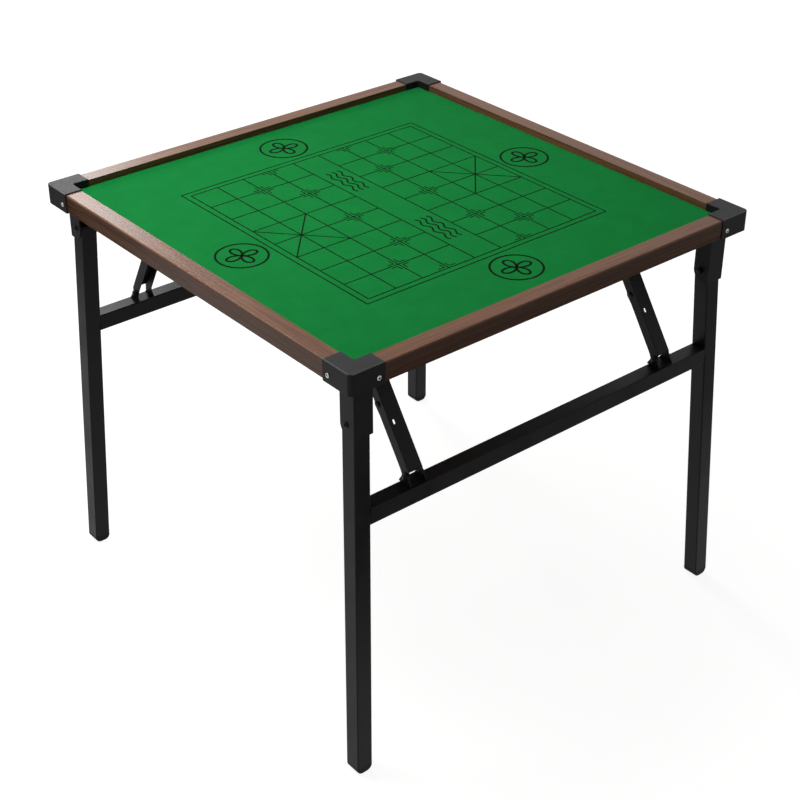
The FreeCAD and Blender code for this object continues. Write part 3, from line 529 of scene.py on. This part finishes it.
def spaced(outline, step):
    """The closed outline with a point at each corner and at even steps of its running length."""
    closed = np.concatenate([outline, outline[:1]])
    run = np.concatenate([[0.0], np.cumsum(np.linalg.norm(np.diff(closed, axis=0), axis=1))])
    places = np.unique(np.concatenate([run[:-1], np.arange(0.0, run[-1], step)]).round(7))
    return np.stack([np.interp(places, run, closed[:, axis]) for axis in (0, 1)], axis=-1)


class MAHJONG_TABLE_OT_playing_cloth(bpy.types.Operator):
    """Lays the felt: rings of the cloth's outline shrunk towards its middle, raised by the slow swell."""
    bl_idname = "mahjong_table.playing_cloth"
    bl_label = "Playing cloth"

    def execute(self, context):
        sizes = settings().cloth
        centre, reach = middle("playing_cloth")
        half, thickness = reach[0], 2 * reach[2]
        top, bottom = centre[2] + reach[2], centre[2] - reach[2]
        notch = -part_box("corner_cap_front_left")[1].x - sizes.gap
        outline = spaced(cloth_outline(half, notch, half - sizes.cap_skirt, sizes.corner), sizes.step)
        inward = np.linspace(0.0, 1.0, int(half / sizes.step) + 1)[1:-1]
        turn = np.linspace(0.0, math.pi / 2, EDGE_RINGS)
        flat_rings = np.stack([inward, np.zeros_like(inward)], axis=-1)
        round_rings = np.stack([1 - sizes.edge_round * (1 - np.sin(turn)) / half,
                                sizes.edge_round * (1 - np.cos(turn))], axis=-1)
        under_rings = np.array([(1.0, thickness), (UNDER_SHARE, thickness)])
        rings = np.concatenate([flat_rings, round_rings, under_rings])
        plan = rings[:, None, :1] * outline[None]
        share = 1 - rings[:, None, 1] / thickness
        height = top - rings[:, None, 1] + swell(plan[..., 0], plan[..., 1]) * share
        points = np.concatenate([plan, height[..., None]], axis=-1).reshape(-1, 3)
        poles = np.array([(0.0, 0.0, top + swell(0.0, 0.0)), (0.0, 0.0, bottom)])
        walls, fans = capped_faces(len(rings), len(outline))
        piece = make_piece("felt_cloth", np.concatenate([poles[:1], points, poles[1:]]),
                           walls[:, ::-1], fans[:, ::-1], material=pile_felt())
        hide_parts("playing_cloth")
        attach(piece, "table")
        return {"FINISHED"}


def straight(starts, ends, points=PATH_POINTS):
    """Straight paths from each start to each end, with the same count of points."""
    share = np.linspace(0.0, 1.0, points)[None, :, None]
    return np.array(starts, float)[:, None] * (1 - share) + np.array(ends, float)[:, None] * share


def ribbons(paths, width, lift, closed=False):
    """Flat ribbons along paths: each side is the path plus or minus half the width square to it.

    The half width wanders by the ink's bleed, as a sum of two sines of the place along the path."""
    sizes = settings().board
    if closed:
        ahead = np.roll(paths, -1, axis=1) - np.roll(paths, 1, axis=1)
    else:
        ahead = np.gradient(paths, axis=1)
    ahead /= np.linalg.norm(ahead, axis=-1, keepdims=True)
    square = np.stack([-ahead[..., 1], ahead[..., 0]], axis=-1)
    place = paths.sum(axis=-1) / MM
    wander = sizes.bleed * sum(np.sin(rate * place + phase) for rate, phase in BLEED_WAVES) / len(BLEED_WAVES)
    half = width / 2 + wander[..., None]
    plan = np.stack([paths - square * half, paths + square * half], axis=1)
    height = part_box("playing_cloth")[1].z + swell(plan[..., 0], plan[..., 1]) + lift
    points = np.concatenate([plan, height[..., None]], axis=-1)
    count, steps = paths.shape[:2]
    faces = grid_faces(2, steps, closed)[None] + (np.arange(count) * 2 * steps)[:, None, None]
    return points.reshape(-1, 3), faces.reshape(-1, 4)


def cross_marks(spots, edge):
    """Four small right angles round each crossing: an arm along each line, set off from the crossing.

    Those that would pass the board's edge are left out."""
    sizes = settings().board
    gap, arm = sizes.mark_gap, sizes.mark_gap + sizes.mark_arm
    turns = [(a, b) for a in (-1, 1) for b in (-1, 1)]
    corners = [(x, y, a, b) for x, y in spots for a, b in turns if abs(y + b * arm) < edge]
    starts = [(x + a * gap, y + b * gap) for x, y, a, b in corners]
    along_x = [(x + a * arm, y + b * gap) for x, y, a, b in corners]
    along_y = [(x + a * gap, y + b * arm) for x, y, a, b in corners]
    return straight(starts + starts, along_x + along_y, points=MARK_POINTS)


class MAHJONG_TABLE_OT_printed_board(bpy.types.Operator):
    """Prints the board: ribbons of ink for the grid, palaces, marks, rings, rosettes and river waves.

    A rosette's reach is the cosine of twice its angle, and a wave's swing is the sine of its run."""
    bl_idname = "mahjong_table.printed_board"
    bl_label = "Printed board"

    def execute(self, context):
        sizes = settings().board
        bank = sizes.river / 2
        far, edge = bank + (BANK_LINES - 1) * sizes.rank_step, HALF_FILES * sizes.file_step
        ranks = [side * (bank + k * sizes.rank_step) for side in (-1, 1) for k in range(BANK_LINES)]
        files = [k * sizes.file_step for k in range(1 - HALF_FILES, HALF_FILES)]
        rank_paths = straight([(x, -edge) for x in ranks], [(x, edge) for x in ranks])
        file_paths = straight([(side * bank, y) for side in (-1, 1) for y in files],
                              [(side * far, y) for side in (-1, 1) for y in files])
        side_paths = straight([(-far, y) for y in (-edge, edge)], [(far, y) for y in (-edge, edge)])
        palace = [(side, turn) for side in (-1, 1) for turn in (-1, 1)]
        palace_paths = straight([(side * far, -turn * sizes.file_step) for side, turn in palace],
                                [(side * (far - 2 * sizes.rank_step), turn * sizes.file_step)
                                 for side, turn in palace])
        soldiers = [(side * (bank + sizes.rank_step), k * sizes.file_step)
                    for side in (-1, 1) for k in range(-HALF_FILES, HALF_FILES + 1, 2)]
        cannons = [(side * (bank + 2 * sizes.rank_step), k * sizes.file_step)
                   for side in (-1, 1) for k in (1 - HALF_FILES, HALF_FILES - 1)]
        across, along = far + sizes.border, edge + sizes.border
        corners = [(-across, -along), (across, -along), (across, along), (-across, along)]
        border_paths = straight(corners, corners[1:] + corners[:1])
        ring_spots = np.array([(sizes.ring_place, 0), (0, sizes.ring_place),
                               (-sizes.ring_place, 0), (0, -sizes.ring_place)])
        angle = np.linspace(0.0, 2 * math.pi, RING_POINTS + 1)[:-1]
        circle = np.stack([np.cos(angle), np.sin(angle)], axis=-1)
        ring_paths = ring_spots[:, None] + sizes.ring_radius * circle
        petal_reach = sizes.petal * np.cos(2 * angle)[:, None]
        petal_paths = ring_spots[:, None] + petal_reach * circle
        run = np.linspace(-0.5, 0.5, PATH_POINTS)
        swing = sizes.wave_height * np.sin(2 * math.pi * WAVE_TURNS * run)
        wave = np.stack([swing, sizes.wave_run * run], axis=-1)
        wave_spots = [(k * sizes.wave_step, side * sizes.wave_place) for side in (-1, 1) for k in (-1, 0, 1)]
        wave_paths = np.array(wave_spots)[:, None] + wave
        grid = (rank_paths, file_paths, side_paths, palace_paths, border_paths)
        families = [(paths, sizes.line, False) for paths in grid]
        families += [(cross_marks(soldiers + cannons, edge), sizes.mark_line, False),
                     (ring_paths, sizes.ring_line, True), (petal_paths, sizes.petal_line, True),
                     (wave_paths, sizes.wave_line, False)]
        points, faces, count = [], [], 0
        for layer, (paths, width, closed) in enumerate(families):
            lift = sizes.lift + LAYER_STEP * layer
            new_points, new_faces = ribbons(paths, width, lift, closed)
            points.append(new_points)
            faces.append(new_faces + count)
            count += len(new_points)
        piece = make_piece("board_print", np.concatenate(points), np.concatenate(faces),
                           material=screen_ink(), smooth=False)
        film = piece.modifiers.new("Ink film", "SOLIDIFY")
        film.thickness = sizes.film
        film.offset = -1.0
        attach(piece, "table")
        return {"FINISHED"}


# Fasteners

WIDE_SHARE = 0.95                       # an end of this share of the greatest radius is a head
CROWN_RINGS, CROWN_SHARE = 18, 0.75     # rings of a head's dome, and its share of the head's height
FOOT_TRIM = 0.3                         # share of the shank's radius that is trimmed off its foot
RECESS_SOFTNESS = 0.3 * MM              # width of the slope down into a recess
SHARP_ANGLE = math.radians(50)


def separate_solids(node):
    """Points of each separate solid in a node, as a list of arrays.

    Points in the same place are one point; each takes the lowest label among the triangles round it,
    again and again, until every solid has one label."""
    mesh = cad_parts[node].data
    places = np.empty(len(mesh.vertices) * 3, np.float32)
    mesh.vertices.foreach_get("co", places)
    triangles = np.empty(len(mesh.polygons) * 3, np.int32)
    mesh.polygons.foreach_get("vertices", triangles)
    points, same = np.unique(places.reshape(-1, 3).round(6), axis=0, return_inverse=True)
    corners = same.reshape(-1)[triangles].reshape(-1, 3)
    labels, before = np.arange(len(points)), None
    while before is None or (labels != before).any():
        before = labels.copy()
        np.minimum.at(labels, corners, labels[corners].min(axis=1, keepdims=True))
    return [points[labels == label] for label in np.unique(labels)]


def fastener_spots(node):
    """Foot, direction to the head, length, head radius and count of heads of each fastener in a node.

    A fastener's axis is the one across which its box is square, and its head is the wider end."""
    spots = []
    for solid in separate_solids(node):
        low, high = solid.min(axis=0), solid.max(axis=0)
        size, foot = high - low, (low + high) / 2
        axis = int(np.argmin([abs(size[k - 2] - size[k - 1]) for k in range(3)]))
        radius = np.linalg.norm(np.delete(solid - foot, axis, axis=1), axis=1)
        beyond = solid[:, axis] > foot[axis]
        wide = [radius[near].max() > WIDE_SHARE * radius.max() for near in (~beyond, beyond)]
        direction = np.eye(3)[axis] * (1 if wide[1] else -1)
        foot = foot - direction * size[axis] / 2
        spots.append((foot, direction, size[axis], radius.max(), sum(wide)))
    return spots


def dome(radius, height, rings):
    """Quarter of an ellipse from the crown of a head down to its rim, as radius and drop."""
    turn = np.linspace(0.0, math.pi / 2, rings + 1)[1:]
    return np.stack([radius * np.sin(turn), height * (1 - np.cos(turn))], axis=-1)


def cross_recess(x, y):
    """Depth of a cross recess: full where a point is near one arm's line and within its reach."""
    sizes = settings().fasteners
    near, far = np.minimum(abs(x), abs(y)), np.maximum(abs(x), abs(y))
    inside = np.clip((sizes.recess_half - near) / RECESS_SOFTNESS + 0.5, 0, 1)
    within = np.clip((sizes.recess_reach - far) / RECESS_SOFTNESS + 0.5, 0, 1)
    return sizes.recess_depth * inside * within


def hex_socket(x, y):
    """Depth of a hexagon socket: full where the most of three slanted distances is within half its width."""
    sizes = settings().fasteners
    slants = np.radians((0.0, 60.0, 120.0))
    reach = np.max([abs(x * np.cos(a) + y * np.sin(a)) for a in slants], axis=0)
    return sizes.socket_depth * np.clip((sizes.socket_half - reach) / RECESS_SOFTNESS + 0.5, 0, 1)


def turned_fastener(spot, head_height, shank_radius, recess):
    """Points of one fastener, each point's share of the recess, and the count of its rings.

    The rings are turned round its axis, from the head's crown to the foot.
    Its outline is a domed head, a step in to the shank and a trimmed foot, or a second head.
    The recess lowers the crown's points along the axis by its depth at their place."""
    foot, direction, run, head_radius, heads = spot
    around = settings().fasteners.around
    crown = dome(head_radius, CROWN_SHARE * head_height, CROWN_RINGS)
    seat = np.array([(head_radius, head_height), (shank_radius, head_height)])
    if heads == 2:
        lower = np.concatenate([seat[::-1], crown[::-1]])
        lower[:, 1] = run - lower[:, 1]
    else:
        trim = FOOT_TRIM * shank_radius
        lower = np.array([(shank_radius, run - trim), (shank_radius - trim, run)])
    outline = np.concatenate([crown, seat, lower])
    angle = np.arange(around) * 2 * math.pi / around
    first = np.eye(3)[(int(np.argmax(abs(direction))) + 1) % 3]
    second = np.cross(direction, first)
    x, y = outline[:, :1] * np.cos(angle), outline[:, :1] * np.sin(angle)
    depth = np.zeros_like(x)
    depth[:len(crown)] = recess(x, y)[:len(crown)]
    deepest = recess(np.zeros(1), np.zeros(1))[0]
    rise = run - outline[:, 1:] - depth
    rings = foot + rise[..., None] * direction + x[..., None] * first + y[..., None] * second
    poles = foot + np.array([[run - deepest], [0.0]]) * direction
    share = np.concatenate([[deepest], depth.reshape(-1), [0.0]]) / max(deepest, MM)
    return np.concatenate([poles[:1], rings.reshape(-1, 3), poles[1:]]), share, len(outline)


def make_fasteners(name, node, head_height, shank_radius, recess, material, body):
    """One piece for all the fasteners of a node, which it stands for."""
    around, count = settings().fasteners.around, 0
    points, shares, walls, fans = [], [], [], []
    for spot in fastener_spots(node):
        made, share, rings = turned_fastener(spot, head_height, shank_radius, recess)
        wall, fan = capped_faces(rings, around)
        points.append(made)
        shares.append(share)
        walls.append(wall[:, ::-1] + count)
        fans.append(fan[:, ::-1] + count)
        count += len(made)
    piece = make_piece(name, np.concatenate(points), np.concatenate(walls), np.concatenate(fans),
                       material=material)
    recesses = piece.data.attributes.new("recess", "FLOAT", "POINT")
    recesses.data.foreach_set("value", np.concatenate(shares))
    piece.data.set_sharp_from_angle(angle=SHARP_ANGLE)
    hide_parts(node)
    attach(piece, body)


def plain_crown(x, y):
    """No recess."""
    return np.zeros_like(x)


class MAHJONG_TABLE_OT_screws(bpy.types.Operator):
    """Turns the pan-head screws of the caps, the leg brackets and the stay anchors, with cross recesses."""
    bl_idname = "mahjong_table.screws"
    bl_label = "Screws"

    def execute(self, context):
        sizes, plate = settings().fasteners, zinc_plate()
        for node in ("corner_cap_screws", "leg_bracket_screws", "stay_anchor_screws"):
            make_fasteners(f"{node}_turned", node, sizes.screw_head, sizes.screw_shank, cross_recess,
                           plate, "table")
        return {"FINISHED"}


class MAHJONG_TABLE_OT_bolts_and_rivets(bpy.types.Operator):
    """Turns the socket-head pivot bolts and the domed rivets of the stays."""
    bl_idname = "mahjong_table.bolts_and_rivets"
    bl_label = "Bolts and rivets"

    def execute(self, context):
        sizes, coat = settings().fasteners, powder_coat("Blackened steel", peel=1.5, shine=0.36)
        make_fasteners("leg_pivot_bolts_turned", "leg_pivot_bolts", sizes.bolt_head, sizes.bolt_shank,
                       hex_socket, coat, "table")
        rivets = {"stay_anchor_rivets": "table"}
        rivets.update({f"stay_clip_rivets_{end}": f"{end}_frame" for end in ENDS})
        rivets.update({f"stay_knee_rivet_{corner}": f"lower_stay_{corner}" for corner in CORNERS})
        for node, body in rivets.items():
            make_fasteners(f"{node}_turned", node, sizes.rivet_head, sizes.rivet_shank, plain_crown,
                           coat, body)
        dress(coat, "leg_pivot_nuts")
        return {"FINISHED"}


# Finishes of the frame's own pieces

class MAHJONG_TABLE_OT_rails(bpy.types.Operator):
    """Wraps the four rails in wood-grain film that runs along each of them."""
    bl_idname = "mahjong_table.rails"
    bl_label = "Rails"

    def execute(self, context):
        low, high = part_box("rail_front")
        outer, top = -low.y, high.z
        dress(wood_film("Wood-grain film along the front", "Y", outer, top), "rail_front", "rail_back")
        dress(wood_film("Wood-grain film along the side", "X", outer, top), "rail_left", "rail_right")
        return {"FINISHED"}


class MAHJONG_TABLE_OT_mouldings(bpy.types.Operator):
    """Finishes the corner caps and the feet in moulded black plastic."""
    bl_idname = "mahjong_table.mouldings"
    bl_label = "Caps and feet"

    def execute(self, context):
        outer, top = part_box("corner_cap_back_right")[1].yz
        # The caps' top outer edges get the paler band of wear and painted highlight.
        edges = [{"X": outer, "Z": top}, {"Y": outer, "Z": top}]
        caps = moulded_plastic("Moulded black ABS", grit=0.9, shine=0.46, edges=edges)
        feet = moulded_plastic("Moulded black polyethylene", grit=1.4, shine=0.6)
        dress(caps, *at_corners("corner_cap"))
        dress(feet, *at_corners("foot"))
        return {"FINISHED"}


class MAHJONG_TABLE_OT_steelwork(bpy.types.Operator):
    """Finishes the legs, crossbars, brackets, clips, anchors and stays in black powder coat."""
    bl_idname = "mahjong_table.steelwork"
    bl_label = "Steelwork"

    def execute(self, context):
        tubes = powder_coat("Black powder coat on tube", peel=2.6, shine=0.4)
        sheets = powder_coat("Black powder coat on sheet", peel=2.0, shine=0.46)
        dress(tubes, *at_corners("leg"), *[f"crossbar_{end}" for end in ENDS])
        dress(sheets, *at_corners("leg_bracket", "stay_clip", "stay_anchor", "stay_lower", "stay_upper"))
        return {"FINISHED"}


class MAHJONG_TABLE_OT_underside(bpy.types.Operator):
    """Finishes the panel in pressed board, and the blocks and battens under it in pine."""
    bl_idname = "mahjong_table.underside"
    bl_label = "Underside"

    def execute(self, context):
        dress(pressed_board(), "top_panel")
        dress(planed_pine(), *at_corners("corner_block"), *[f"stay_batten_{end}" for end in ENDS])
        return {"FINISHED"}


# Stage

# Places and sizes in metres, in the table's frame; a flag is given by two corners
SKY_PLACE = (-0.5, 0.9, 3.0)
KEY_PLACE, KEY_SIDE = (-0.5, 0.4, 1.9), 0.9
BACK_PLACE, BACK_SIDE = (1.0, 3.8, 2.6), 1.2
FLAGS = {"left_flag": ((-2.6, 1.4), (-0.8, 3.4)), "front_flag": ((-0.5, -1.4), (2.2, -0.8))}
FLAG_HEIGHT = 4 * MM
SENSOR_WIDTH = 36.0


def seen_ray(tree):
    """One where a ray comes from the camera, a glossy bounce or through glass, and nought elsewhere."""
    path = add_node(tree, "LightPath").outputs
    either = add_node(tree, "Math", {
        0: path["Is Camera Ray"], 1: path["Is Glossy Ray"]}, operation="MAXIMUM")
    any_ray = add_node(tree, "Math", {
        0: either.outputs["Value"], 1: path["Is Transmission Ray"]}, operation="MAXIMUM")
    return any_ray.outputs["Value"]


def studio_floor():
    """Pale matt floor: it is seen lifted to white, with the table's soft shadow left on it."""
    stage = settings().stage
    material, tree, shader, _ = new_material("Pale studio floor")
    set_inputs(tree, shader, {"Base Color": opaque(stage.floor), "Roughness": 0.9, "Specular IOR Level": 0.1})
    share = add_node(tree, "Math", {0: seen_ray(tree), 1: stage.floor_glow}, operation="MULTIPLY")
    glow = add_node(tree, "Emission", {"Strength": share.outputs["Value"]})
    lifted = add_node(tree, "AddShader", {0: shader.outputs["BSDF"], 1: glow.outputs["Emission"]})
    output = next(node for node in tree.nodes if node.type == "OUTPUT_MATERIAL")
    set_inputs(tree, output, {"Surface": lifted.outputs["Shader"]})
    return material


def flag_cloth():
    """Black flag cloth: dull, so that glossy sides which face it look dark."""
    material, tree, shader, _ = new_material("Black flag cloth")
    set_inputs(tree, shader, {
        "Base Color": opaque(linear("#050505")), "Roughness": 1.0, "Specular IOR Level": 0.0})
    return material


def studio_world():
    """White all round where it is seen, and an even soft light of the ambient level elsewhere."""
    world = bpy.data.worlds.new("Studio")
    world.use_nodes = True
    tree = world.node_tree
    tree.nodes.clear()
    level = add_node(tree, "MapRange", {
        "Value": seen_ray(tree), "To Min": settings().stage.ambient, "To Max": 1.0})
    sky = add_node(tree, "Background", {"Color": (1.0, 1.0, 1.0, 1.0), "Strength": level.outputs["Result"]})
    add_node(tree, "OutputWorld", {"Surface": sky.outputs["Background"]})
    bpy.context.scene.world = world


def aim(name, light, place, target):
    """Puts a light in its place, facing its target."""
    lamp = bpy.data.objects.new(name, light)
    bpy.context.scene.collection.objects.link(lamp)
    lamp.location = place
    lamp.rotation_euler = (Vector(target) - Vector(place)).to_track_quat("-Z", "Y").to_euler()


def area_lamp(name, place, target, size, power):
    """A square soft lamp that faces its target."""
    light = bpy.data.lights.new(name, "AREA")
    light.size, light.energy = size, power
    aim(name, light, place, target)


def stage_sheet(name, low, high, height, material):
    """A level rectangle of the stage, between two corners at one height."""
    corners = np.array([(low[0], low[1], height), (high[0], low[1], height),
                        (high[0], high[1], height), (low[0], high[1], height)])
    sheet = make_piece(name, corners, np.array([[0, 1, 2, 3]]), material=material, smooth=False)
    return sheet


class MAHJONG_TABLE_OT_stage(bpy.types.Operator):
    """Sets the pale floor, the flags that only reflections see, the white surround, lamps and camera."""
    bl_idname = "mahjong_table.stage"
    bl_label = "Stage"

    def execute(self, context):
        stage, scene = settings().stage, context.scene
        half = stage.floor_side / 2
        stage_sheet("studio_floor", (-half, -half), (half, half), 0.0, studio_floor())
        black = flag_cloth()
        for name, (low, high) in FLAGS.items():
            flag = stage_sheet(name, low, high, FLAG_HEIGHT, black)
            flag.visible_camera = flag.visible_diffuse = flag.visible_shadow = False
        studio_world()
        sky = bpy.data.lights.new("Sky light", "SUN")
        sky.energy, sky.angle = stage.sky_strength, stage.sky_spread
        aim("Sky light", sky, SKY_PLACE, (0, 0, 0))
        top_middle = (0, 0, CAD_BOX[1].z)
        area_lamp("Key lamp", KEY_PLACE, top_middle, KEY_SIDE, stage.key_power)
        area_lamp("Back lamp", BACK_PLACE, top_middle, BACK_SIDE, stage.back_power)
        data = bpy.data.cameras.new("Camera")
        data.sensor_width = SENSOR_WIDTH
        data.lens = stage.focal_pixels * SENSOR_WIDTH / FRAME_PIXELS
        camera = bpy.data.objects.new("Camera", data)
        scene.collection.objects.link(camera)
        level = math.cos(stage.elevation)
        back = Vector((math.sin(stage.azimuth) * level, -math.cos(stage.azimuth) * level,
                       math.sin(stage.elevation)))
        camera.location = stage.camera
        camera.rotation_euler = (-back).to_track_quat("-Z", "Y").to_euler()
        scene.camera = camera
        scene.view_settings.view_transform = "Standard"
        return {"FINISHED"}


# Add-on

STEPS = (MAHJONG_TABLE_OT_playing_cloth, MAHJONG_TABLE_OT_printed_board, MAHJONG_TABLE_OT_screws,
         MAHJONG_TABLE_OT_bolts_and_rivets, MAHJONG_TABLE_OT_rails, MAHJONG_TABLE_OT_mouldings,
         MAHJONG_TABLE_OT_steelwork, MAHJONG_TABLE_OT_underside, MAHJONG_TABLE_OT_stage)


class MAHJONG_TABLE_PT_panel(bpy.types.Panel):
    """Lists the table's steps in the sidebar."""
    bl_idname = "MAHJONG_TABLE_PT_panel"
    bl_label = "Mahjong Table"
    bl_space_type = "VIEW_3D"
    bl_region_type = "UI"
    bl_category = "Mahjong Table"

    def draw(self, context):
        for step in STEPS:
            self.layout.operator(step.bl_idname)


CLASSES = (ClothSettings, PrintSettings, FastenerSettings, FinishSettings, StageSettings, TableSettings,
           *STEPS, MAHJONG_TABLE_PT_panel)


def register():
    for each in CLASSES:
        bpy.utils.register_class(each)
    bpy.types.Scene.mahjong_table = PointerProperty(type=TableSettings)


def unregister():
    del bpy.types.Scene.mahjong_table
    for each in reversed(CLASSES):
        bpy.utils.unregister_class(each)


def main():
    """Registers the add-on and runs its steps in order."""
    register()
    bpy.ops.mahjong_table.playing_cloth()
    bpy.ops.mahjong_table.printed_board()
    bpy.ops.mahjong_table.screws()
    bpy.ops.mahjong_table.bolts_and_rivets()
    bpy.ops.mahjong_table.rails()
    bpy.ops.mahjong_table.mouldings()
    bpy.ops.mahjong_table.steelwork()
    bpy.ops.mahjong_table.underside()
    bpy.ops.mahjong_table.stage()


if __name__ == "__main__":
    main()
